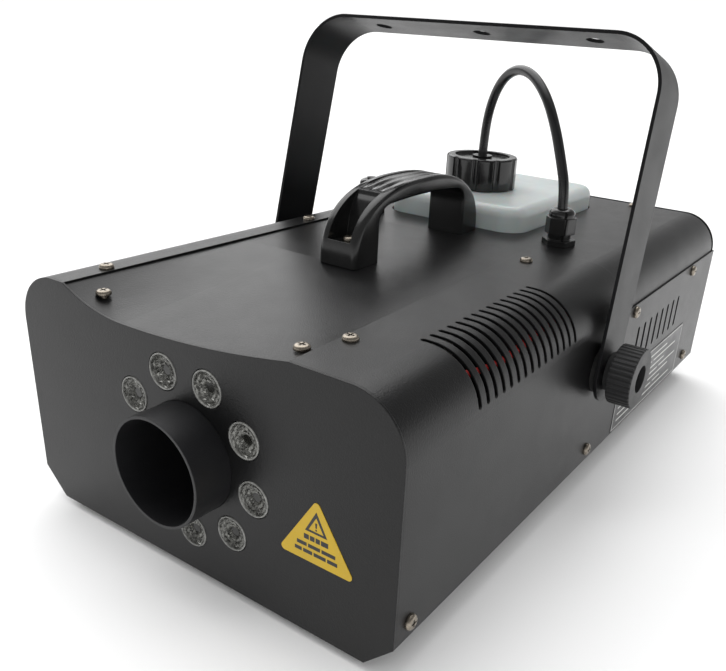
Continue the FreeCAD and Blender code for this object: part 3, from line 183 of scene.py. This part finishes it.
BLACK = (0.0055, 0.0055, 0.0057)
looks = {
    "housing_paint": material("powder_coat_black", BLACK, 0.32, vary=0.12, rough_vary=0.02,
                              grain=0.00012, grain_scale=1250.0, edge=0.0006, IOR=1.36),
    "duct_paint": material("matt_black_tube", (0.006, 0.006, 0.007), 0.5, rough_vary=0.03,
                           grain=0.00008, grain_scale=1400.0, edge=0.0007),
    "yoke_paint": material("powder_coat_yoke", (0.005, 0.005, 0.0055), 0.36, vary=0.12,
                           rough_vary=0.03, grain=0.00010, grain_scale=1250.0, edge=0.0006,
                           IOR=1.28),
    "galvanised": material("galvanised_sheet", (0.45, 0.46, 0.47), 0.42, vary=0.15,
                           vary_scale=90.0, Metallic=1.0),
    "rubber_black": material("rubber", (0.014, 0.014, 0.014), 0.75, grain=0.00005),
    "lens_clear": material("clear_lens_plastic", (0.93, 0.95, 0.96), 0.06, vary=0.02,
                           rough_vary=0.03, IOR=1.49, Transmission_Weight=0.85),
    "black_plastic": material("moulded_black_plastic", (0.006, 0.006, 0.006), 0.22,
                              rough_vary=0.04, edge=0.0005),
    "led_die": material("led_phosphor", (0.75, 0.62, 0.12), 0.5, vary=0.1, vary_scale=400.0),
    "board_white": material("board_solder_mask", (0.75, 0.75, 0.72), 0.4, vary=0.08),
    "label_yellow": material("label_film_yellow", (0.52, 0.34, 0.008), 0.38, vary=0.06,
                             vary_scale=60.0, grain=0.00002, grain_scale=300.0),
    "label_print": material("label_film_black", (0.010, 0.010, 0.011), 0.34, vary=0.2,
                            grain=0.00002, grain_scale=400.0),
    "screw_nickel": material("nickel_plate", (0.30, 0.265, 0.22), 0.30, vary=0.12,
                             vary_scale=500.0, rough_vary=0.1, rough_scale=700.0,
                             grain=0.00003, grain_scale=1500.0, edge=0.0003, Metallic=1.0),
    "knob_plastic": material("knob_nylon", (0.013, 0.013, 0.0135), 0.48, grain=0.00010,
                             grain_scale=1300.0, edge=0.0005),
    "tank_plastic": material("tank_polyethylene", (0.50, 0.525, 0.52), 0.36, vary=0.05,
                             vary_scale=22.0, grain=0.00012, grain_scale=160.0, edge=0.001,
                             IOR=1.5, Transmission_Weight=0.12, Subsurface_Weight=0.35,
                             Subsurface_Scale=0.010),
    "fluid": material("fog_fluid", (0.78, 0.88, 0.90), 0.05, vary=0.03, rough_vary=0.02,
                      IOR=1.38, Transmission_Weight=0.9),
    "tray_plastic": material("tray_plastic", (0.03, 0.03, 0.03), 0.5),
    "cap_plastic": material("cap_gloss_black", (0.008, 0.008, 0.008), 0.16, rough_vary=0.06,
                            grain=0.00003, grain_scale=350.0, edge=0.0007),
    "clear_tube": material("pvc_tube", (0.75, 0.74, 0.68), 0.2, vary=0.05, IOR=1.5,
                           Transmission_Weight=0.6),
    "hose_black": material("hose_polyurethane", (0.009, 0.009, 0.010), 0.28, rough_vary=0.06,
                           grain=0.00002, grain_scale=900.0),
    "cast_aluminium": material("cast_aluminium", (0.55, 0.55, 0.56), 0.5, vary=0.15,
                               vary_scale=120.0, grain=0.0001, grain_scale=600.0, Metallic=1.0),
    "fibre_blanket": material("ceramic_blanket", (0.72, 0.69, 0.60), 0.9, vary=0.12,
                              vary_scale=200.0, grain=0.0006, grain_scale=420.0,
                              Sheen_Weight=0.4),
    "brass_fitting": material("brass", (0.72, 0.50, 0.20), 0.3, vary=0.12, vary_scale=200.0,
                              Metallic=1.0),
    "wire_red": material("silicone_wire_red", (0.50, 0.018, 0.014), 0.45, vary=0.1),
    "circuit_green": material("circuit_board", (0.03, 0.14, 0.06), 0.35, vary=0.3,
                              vary_scale=300.0),
    "component_dark": material("component_epoxy", (0.03, 0.03, 0.04), 0.45, vary=0.3,
                               vary_scale=150.0),
    "rocker_red": material("rocker_red", (0.45, 0.015, 0.012), 0.25, vary=0.1, edge=0.0004),
    "button_grey": material("button_grey", (0.16, 0.16, 0.165), 0.5, grain=0.00003,
                            edge=0.0004),
    "display_glass": material("display_window", (0.010, 0.013, 0.018), 0.08, rough_vary=0.03,
                              Coat_Weight=0.5),
    "print_white": material("screen_print_white", (0.62, 0.62, 0.60), 0.5, vary=0.12,
                            vary_scale=300.0),
    "facets": material("collimator_facets", (0.13, 0.13, 0.12), 0.12, vary=0.7,
                       vary_scale=700.0, rough_vary=0.08, rough_scale=900.0, Metallic=0.65,
                       Coat_Weight=0.6),
    # Light grey on the lens rims: a painted highlight, standing in for light caught on clear
    # plastic.
    "lens_rim": material("lens_rim", (0.20, 0.20, 0.19), 0.16, vary=0.4, vary_scale=400.0),
    # Near-black in each lens's middle: painted shade, standing in for the dark seen through the
    # clear lens.
    "lens_middle": material("lens_middle", (0.012, 0.012, 0.010), 0.2, vary=0.4,
                            vary_scale=900.0),
}


def dress(obj, look):
    """Gives an object one of the looks in every material slot."""
    surface = looks[look]
    if not obj.data.materials:
        obj.data.materials.append(surface)
    for slot in obj.material_slots:
        slot.material = surface
    return obj


def look_of(node):
    """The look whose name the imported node's own material has, with or without a number."""
    packed = node.data.materials[0].name if node.data.materials else ""
    for look in looks:
        if packed == look or packed.startswith(look + "."):
            return look
    return "black_plastic"


for node in nodes.values():
    dress(node, look_of(node))
dress(nodes["display_window"], "display_glass")
dress(tank_hose, "hose_black")


# ---------------------------------------------------------------- mesh pieces
def mesh_piece(name, bm, body, look, replaces=(), smooth=40.0):
    """Turns a bmesh into a piece on a body, smooth except at edges sharper than an angle."""
    bmesh.ops.recalc_face_normals(bm, faces=bm.faces)
    data = bpy.data.meshes.new(name)
    bm.to_mesh(data)
    bm.free()
    data.shade_smooth()
    data.set_sharp_from_angle(angle=math.radians(smooth))
    piece = link(bpy.data.objects.new(name, data))
    dress(piece, look)
    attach(piece, body)
    if replaces:
        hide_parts(*replaces)
    return piece


def loft(bm, rings):
    """Joins rings of points, each closed on itself, into a skin with both ends closed."""
    made = [[bm.verts.new(point) for point in ring] for ring in rings]
    for one, two in zip(made, made[1:]):
        count = len(one)
        for i in range(count):
            j = (i + 1) % count
            bm.faces.new((one[i], one[j], two[j], two[i]))
    bm.faces.new(list(reversed(made[0])))
    bm.faces.new(made[-1])


# ---------------------------------------------------------------- lenses
LENS_RING_RADIUS = 43.0 * MM
LENS_COUNT = 9
# Radii and depths in millimetres, the depths behind the front panel's face.
FACET_RADII = [2.4, 3.7, 5.0, 6.3, 7.5, 8.5]
FACET_DEPTHS = [2.6, 1.7, 1.45, 0.95, 0.75, 0.35]
FACET_STEPS = 30
FACET_RIPPLE = 0.30
RIM_PROFILE = [(9.3, 0.6), (9.3, -0.15), (9.05, -0.4), (8.7, -0.4), (8.45, -0.1), (8.45, 0.6)]
WELL_RADIUS = 2.5
WELL_START = 2.5
WELL_DEPTH = 2.5
WELL_STEPS = 32
FRONT_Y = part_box("front_panel")[0].y
nozzle_low, nozzle_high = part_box("nozzle_duct")
nozzle_axis = (nozzle_low + nozzle_high) / 2.0


def lens_centres():
    """The lenses' centres, evenly spaced round the nozzle, from the lowest one on."""
    for i in range(LENS_COUNT):
        angle = math.radians(-90.0 + i * 360.0 / LENS_COUNT)
        yield Vector((nozzle_axis.x + LENS_RING_RADIUS * math.cos(angle), FRONT_Y,
                      nozzle_axis.z + LENS_RING_RADIUS * math.sin(angle)))


def lens_facets():
    """Inside each lens: rings of small facets, tilted in turn, sloping to a middle painted dark
    as shade.
    """
    bm = bmesh.new()
    for centre in lens_centres():
        rings = []
        for k, (radius, depth) in enumerate(zip(FACET_RADII, FACET_DEPTHS)):
            ring = []
            for i in range(FACET_STEPS):
                angle = 2.0 * math.pi * (i + 0.5 * (k % 2)) / FACET_STEPS
                ripple = FACET_RIPPLE if (i + k) % 2 else -FACET_RIPPLE
                ring.append(bm.verts.new(centre + Vector((radius * math.cos(angle),
                                                           depth + ripple,
                                                           radius * math.sin(angle))) * MM))
            rings.append(ring)
        for k, (one, two) in enumerate(zip(rings, rings[1:])):
            for i in range(FACET_STEPS):
                j = (i + 1) % FACET_STEPS
                if k % 2:
                    bm.faces.new((one[i], one[j], two[i]))
                    bm.faces.new((one[j], two[j], two[i]))
                else:
                    bm.faces.new((one[i], two[j], two[i]))
                    bm.faces.new((one[i], one[j], two[j]))
    return bm


def ring_profile(bm, centre, profile, steps=64):
    """Turns a closed profile of (radius, depth) about the Y axis through centre."""
    rings = []
    for i in range(steps):
        angle = 2.0 * math.pi * i / steps
        rings.append([bm.verts.new(centre + Vector((r * math.cos(angle), d,
                                                    r * math.sin(angle))) * MM)
                      for r, d in profile])
    for i in range(steps):
        one, two = rings[i], rings[(i + 1) % steps]
        count = len(profile)
        for k in range(count):
            m = (k + 1) % count
            bm.faces.new((one[k], one[m], two[m], two[k]))


def lens_rims():
    """A thin raised rim round each lens, coloured light grey: a painted highlight for the line
    of light on a clear rim.
    """
    bm = bmesh.new()
    for centre in lens_centres():
        ring_profile(bm, centre, RIM_PROFILE)
    return bm


def lens_middles():
    """The dark well at the centre of each lens: a near-black plug, painted shade for the dark
    seen in the lens's middle.
    """
    bm = bmesh.new()
    for centre in lens_centres():
        turns = [2.0 * math.pi * i / WELL_STEPS for i in range(WELL_STEPS)]
        rim = [centre + Vector((WELL_RADIUS * math.cos(turn), WELL_START,
                                WELL_RADIUS * math.sin(turn))) * MM for turn in turns]
        floor_ring = [point + Vector((0.0, WELL_DEPTH, 0.0)) * MM for point in rim]
        loft(bm, [rim, floor_ring])
    return bm


mesh_piece("lens_middles", lens_middles(), "housing", "lens_middle")
mesh_piece("lens_facets", lens_facets(), "housing", "facets", smooth=1.0)
mesh_piece("lens_rims", lens_rims(), "housing", "lens_rim",
           replaces=("led_lenses",))


# ---------------------------------------------------------------- handle
# Sizes in millimetres. In the side view a point is its distance from the middle and its height.
HANDLE_X = -10.5
HANDLE_HALF_WIDTH = 13.5
HANDLE_FRONT = -95.25
HANDLE_LENGTH = 142.0
HANDLE_BASE = 138.8
HANDLE_RISE = 44.0
HANDLE_BOW = 2.5                # how square the outer curve is: 2 is an ellipse
HANDLE_LEG = 23.5
HANDLE_GRIP = 10.0
HANDLE_RINGS = 60               # sections from a foot to the middle
OPENING_TURN_START = 22.0       # height where the opening's side starts to turn in
OPENING_TURN_END = 32.9
OPENING_TURN_REACH = 13.0
OPENING_SQUARENESS = 2.2
TOP_EDGE_RADIUS = 3.2
LOW_EDGE_RADIUS = 2.2
POCKET_HALF_WIDTH = 8.0
POCKET_SEAT = 13.0              # height of the face that the screw sits on
POCKET_CREST = 38.5             # height where the pocket runs out into the bow
GROOVES = (-6.5, 0.0, 6.5)
GROOVE_HALF_WIDTH = 1.9
GROOVE_DEPTH = 1.2
GROOVE_FADE = 6.0               # sections over which a groove reaches its full depth


def resample(line, count):
    """The same line as evenly spaced points."""
    spans = [math.dist(a, b) for a, b in zip(line, line[1:])]
    total = sum(spans)
    points = []
    k, passed = 0, 0.0
    for i in range(count):
        want = total * i / (count - 1)
        while k < len(spans) - 1 and passed + spans[k] < want:
            passed += spans[k]
            k += 1
        f = min(1.0, (want - passed) / spans[k])
        points.append(tuple(line[k][n] * (1.0 - f) + line[k + 1][n] * f for n in (0, 1)))
    return points


def bow_height(reach):
    """Height of the handle's outer curve at a distance from its middle."""
    share = min(1.0, abs(reach) / (HANDLE_LENGTH / 2.0))
    return HANDLE_RISE * (1.0 - share ** HANDLE_BOW) ** (1.0 / HANDLE_BOW)


def quarter(start, end, exponent, steps=24):
    """A squared-off quarter turn from an upright start to a level end, in the side view."""
    points = []
    for i in range(steps + 1):
        angle = math.pi / 2.0 * i / steps
        across = 1.0 - math.cos(angle) ** (2.0 / exponent)
        up = math.sin(angle) ** (2.0 / exponent)
        points.append((start[0] + (end[0] - start[0]) * across,
                       start[1] + (end[1] - start[1]) * up))
    return points


def outer_line():
    """The bow's outer curve in the side view, from its foot to its middle."""
    line = []
    for i in range(91):
        reach = -HANDLE_LENGTH / 2.0 * math.cos(math.pi / 2.0 * i / 90)
        line.append((reach, bow_height(reach)))
    return resample(line, HANDLE_RINGS)


def inner_line():
    """The opening's curve under the grip, from its foot to its middle."""
    inner_half = HANDLE_LENGTH / 2.0 - HANDLE_LEG
    under = HANDLE_RISE - HANDLE_GRIP
    turned = -inner_half + OPENING_TURN_REACH
    line = [(-inner_half, 0.0)]
    line += quarter((-inner_half, OPENING_TURN_START), (turned, OPENING_TURN_END),
                    OPENING_SQUARENESS)
    for i in range(1, 11):
        climb = math.sin(math.pi / 2.0 * i / 10.0)
        line.append((turned + (inner_half - OPENING_TURN_REACH) * i / 10.0,
                     OPENING_TURN_END + (under - OPENING_TURN_END) * climb))
    return resample(line, HANDLE_RINGS)


def pocket_line(lip, crest, count):
    """The screw pocket's floor and back wall in the side view, between two outer points."""
    foot = -HANDLE_LENGTH / 2.0
    line = [(lip[0] + 1.2, POCKET_SEAT), (foot + 19.5, POCKET_SEAT), (foot + 21.5, 25.0),
            (foot + 25.0, 33.0), (crest[0] - 0.2, crest[1] - 1.2)]
    return resample(line, count)


def rounded_edge(radius, steps=7):
    """How far in from the side, and how far off the face, an edge's rounding lies."""
    turns = [math.pi / 2.0 * i / steps for i in range(steps + 1)]
    return [(radius * (1.0 - math.cos(turn)), radius * (1.0 - math.sin(turn)))
            for turn in turns]


def top_section():
    """Places across the bow's top, each with its drop below the outer curve."""
    edge = [(-HANDLE_HALF_WIDTH + inset, drop) for inset, drop in rounded_edge(TOP_EDGE_RADIUS)]
    # Closer together at the pocket's sides and over each groove.
    flat = [-9.6, -9.0, -8.4, -8.1, -7.9, -7.2, -6.5, -5.8, -5.0, -3.2, -1.6, -0.8, 0.0]
    flat += [-x for x in reversed(flat[:-1])]
    return edge + [(x, 0.0) for x in flat] + [(-x, drop) for x, drop in reversed(edge)]


def low_section():
    """Places across the bow's underside, each with its rise above the opening's curve."""
    edge = [(HANDLE_HALF_WIDTH - inset, rise) for inset, rise in rounded_edge(LOW_EDGE_RADIUS)]
    return edge + [(-x, rise) for x, rise in reversed(edge)]


def groove(x):
    """Depth of the three grooves at a place across the handle."""
    nearest = min(abs(x - middle) for middle in GROOVES)
    return GROOVE_DEPTH * max(0.0, 1.0 - (nearest / GROOVE_HALF_WIDTH) ** 2)


def handle():
    """Moulded bow: rounded edges, three long grooves on top and a screw pocket at each end."""
    outer = outer_line()
    inner = inner_line()
    lip = next(i for i, point in enumerate(outer) if point[1] > POCKET_SEAT)
    crest = next(i for i, point in enumerate(outer) if point[1] > POCKET_CREST)
    well = pocket_line(outer[lip], outer[crest], crest - lip - 1)
    top = top_section()
    bottom = low_section()
    halves = []
    for index in range(HANDLE_RINGS):
        oy, oz = outer[index]
        iy, iz = inner[index]
        inward = Vector((iy - oy, iz - oz)).normalized()
        fade = min(1.0, max(0.0, (index - crest - 1) / GROOVE_FADE))
        ring = []
        for x, drop in top:
            if lip < index < crest and abs(x) < POCKET_HALF_WIDTH:
                y, z = well[index - lip - 1]
            else:
                sink = drop + groove(x) * fade
                y, z = oy + inward.x * sink, oz + inward.y * sink
            ring.append((x, y, z))
        for x, rise in bottom:
            ring.append((x, iy - inward.x * rise, iz - inward.y * rise))
        halves.append(ring)
    rings = halves + [[(x, -y, z) for x, y, z in ring] for ring in reversed(halves[:-1])]
    middle = Vector((HANDLE_X, HANDLE_FRONT + HANDLE_LENGTH / 2.0, HANDLE_BASE))
    bm = bmesh.new()
    loft(bm, [[(middle + Vector(point)) * MM for point in ring] for ring in rings])
    return bm


mesh_piece("bow_handle", handle(), "housing", "black_plastic", replaces=("handle",), smooth=38.0)


# ---------------------------------------------------------------- label printing
PRINT_HEIGHT = 0.06 * MM
RATING_MARGIN = 1.0 * MM
RATING_LINE = 0.5 * MM
RATING_BAR_HALF = 0.55 * MM


def plate(bm, corners, thickness, normal):
    """A thin flat plate on the given corners, standing proud along normal."""
    low = [bm.verts.new(c) for c in corners]
    high = [bm.verts.new(c + normal * thickness) for c in corners]
    bm.faces.new(low)
    bm.faces.new(list(reversed(high)))
    for i in range(len(corners)):
        j = (i + 1) % len(corners)
        bm.faces.new((low[j], low[i], high[i], high[j]))


def warning_print():
    """A black triangle outline with a plain mark in it, over bars of even print.

    Places are shares of the label's width, from its middle, and of its height.
    """
    low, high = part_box("warning_label")
    bm = bmesh.new()
    y = low.y
    cx = (low.x + high.x) / 2.0
    width = high.x - low.x
    tall = high.z - low.z
    normal = Vector((0.0, -1.0, 0.0))

    def at(u, v):
        return Vector((cx + u * width, y, low.z + v * tall))

    apex, left, right = (0.0, 0.86), (-0.155, 0.50), (0.155, 0.50)
    inner = [(0.0, 0.765), (-0.105, 0.535), (0.105, 0.535)]
    outer = [apex, left, right]
    for i in range(3):
        j = (i + 1) % 3
        plate(bm, [at(*outer[i]), at(*outer[j]), at(*inner[j]), at(*inner[i])], PRINT_HEIGHT,
              normal)
    plate(bm, [at(-0.014, 0.68), at(0.014, 0.68), at(0.009, 0.60), at(-0.009, 0.60)],
          PRINT_HEIGHT, normal)
    plate(bm, [at(-0.011, 0.58), at(0.011, 0.58), at(0.011, 0.555), at(-0.011, 0.555)],
          PRINT_HEIGHT, normal)
    bars = [(0.36, 0.44, [(-0.17, -0.10), (-0.085, -0.02), (-0.005, 0.055), (0.07, 0.17)]),
            (0.235, 0.295, [(-0.27, -0.13), (-0.11, 0.06), (0.08, 0.27)]),
            (0.125, 0.185, [(-0.30, -0.20), (-0.18, -0.05), (-0.03, 0.14), (0.16, 0.30)])]
    for v0, v1, spans in bars:
        for u0, u1 in spans:
            plate(bm, [at(u0, v0), at(u1, v0), at(u1, v1), at(u0, v1)], PRINT_HEIGHT,
                  normal)
    return bm


def rating_print():
    """A white outline and rows of plain bars on the side plate's label."""
    low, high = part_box("rating_label")
    bm = bmesh.new()
    x = high.x
    normal = Vector((1.0, 0.0, 0.0))

    def bar(y0, y1, z0, z1):
        plate(bm, [Vector((x, y0, z0)), Vector((x, y1, z0)), Vector((x, y1, z1)),
                   Vector((x, y0, z1))], PRINT_HEIGHT, normal)

    y0, y1 = low.y + RATING_MARGIN, high.y - RATING_MARGIN
    z0, z1 = low.z + RATING_MARGIN, high.z - RATING_MARGIN
    bar(y0, y1, z0, z0 + RATING_LINE)
    bar(y0, y1, z1 - RATING_LINE, z1)
    bar(y0, y0 + RATING_LINE, z0 + RATING_LINE, z1 - RATING_LINE)
    bar(y1 - RATING_LINE, y1, z0 + RATING_LINE, z1 - RATING_LINE)
    rows = [(0.86, [(0.05, 0.32), (0.36, 0.74)]), (0.74, [(0.05, 0.50), (0.53, 0.90)]),
            (0.62, [(0.05, 0.24), (0.27, 0.72)]), (0.50, [(0.05, 0.62), (0.65, 0.93)]),
            (0.38, [(0.05, 0.40), (0.44, 0.82)]), (0.26, [(0.05, 0.55), (0.58, 0.70)]),
            (0.14, [(0.05, 0.30), (0.33, 0.88)])]
    for v, spans in rows:
        z = z0 + v * (z1 - z0)
        for u0, u1 in spans:
            bar(y0 + u0 * (y1 - y0), y0 + u1 * (y1 - y0), z - RATING_BAR_HALF,
                z + RATING_BAR_HALF)
    return bm


mesh_piece("warning_print", warning_print(), "housing", "label_print", smooth=30.0)
mesh_piece("rating_print", rating_print(), "housing", "print_white",
           smooth=30.0)


# ---------------------------------------------------------------- floor and light
def floor():
    """A pale floor, large enough to run out to the horizon."""
    reach = 20.0
    cells = 20
    bm = bmesh.new()
    step = 2.0 * reach / cells
    grid = [[bm.verts.new((-reach + step * i, -reach + step * j, 0.0)) for i in range(cells + 1)]
            for j in range(cells + 1)]
    for one, two in zip(grid, grid[1:]):
        for i in range(cells):
            bm.faces.new((one[i], one[i + 1], two[i + 1], two[i]))
    mesh = bpy.data.meshes.new("studio_floor")
    bm.to_mesh(mesh)
    bm.free()
    ground = link(bpy.data.objects.new("studio_floor", mesh))
    mesh.materials.append(material("studio_floor", (0.90, 0.90, 0.90), 0.9, vary=0.01,
                                   vary_scale=0.5))


def soft_sun(name, azimuth, elevation, spread, strength, mirrored=True):
    """A very wide, even light, in degrees round from +X and up from the floor."""
    data = bpy.data.lights.new(name, "SUN")
    data.angle = math.radians(spread)
    data.energy = strength
    lamp = link(bpy.data.objects.new(name, data))
    lamp.visible_glossy = mirrored
    turn, rise = math.radians(azimuth), math.radians(elevation)
    toward = Vector((math.cos(turn) * math.cos(rise), math.sin(turn) * math.cos(rise),
                     math.sin(rise)))
    lamp.rotation_euler = toward.to_track_quat("Z", "Y").to_euler()


def world():
    """White at the horizon, falling off to a dim studio above it."""
    sky = bpy.data.worlds.new("studio")
    sky.use_nodes = True
    tree = sky.node_tree
    back = tree.nodes["Background"]
    place = tree.nodes.new("ShaderNodeTexCoord")
    parts = tree.nodes.new("ShaderNodeSeparateXYZ")
    ramp = tree.nodes.new("ShaderNodeValToRGB")
    ramp.color_ramp.elements[0].position = 0.06
    ramp.color_ramp.elements[0].color = (1.0, 1.0, 1.0, 1.0)
    ramp.color_ramp.elements[1].position = 0.25
    ramp.color_ramp.elements[1].color = (0.30, 0.30, 0.30, 1.0)
    tree.links.new(place.outputs["Generated"], parts.inputs["Vector"])
    tree.links.new(parts.outputs["Z"], ramp.inputs["Fac"])
    tree.links.new(ramp.outputs["Color"], back.inputs["Color"])
    back.inputs["Strength"].default_value = 1.05
    bpy.context.scene.world = sky


floor()
world()
soft_sun("key", azimuth=148.0, elevation=53.0, spread=78.0, strength=2.7)
soft_sun("fill", azimuth=-50.0, elevation=58.0, spread=90.0, strength=1.6, mirrored=False)
bpy.context.scene.view_settings.view_transform = "Standard"
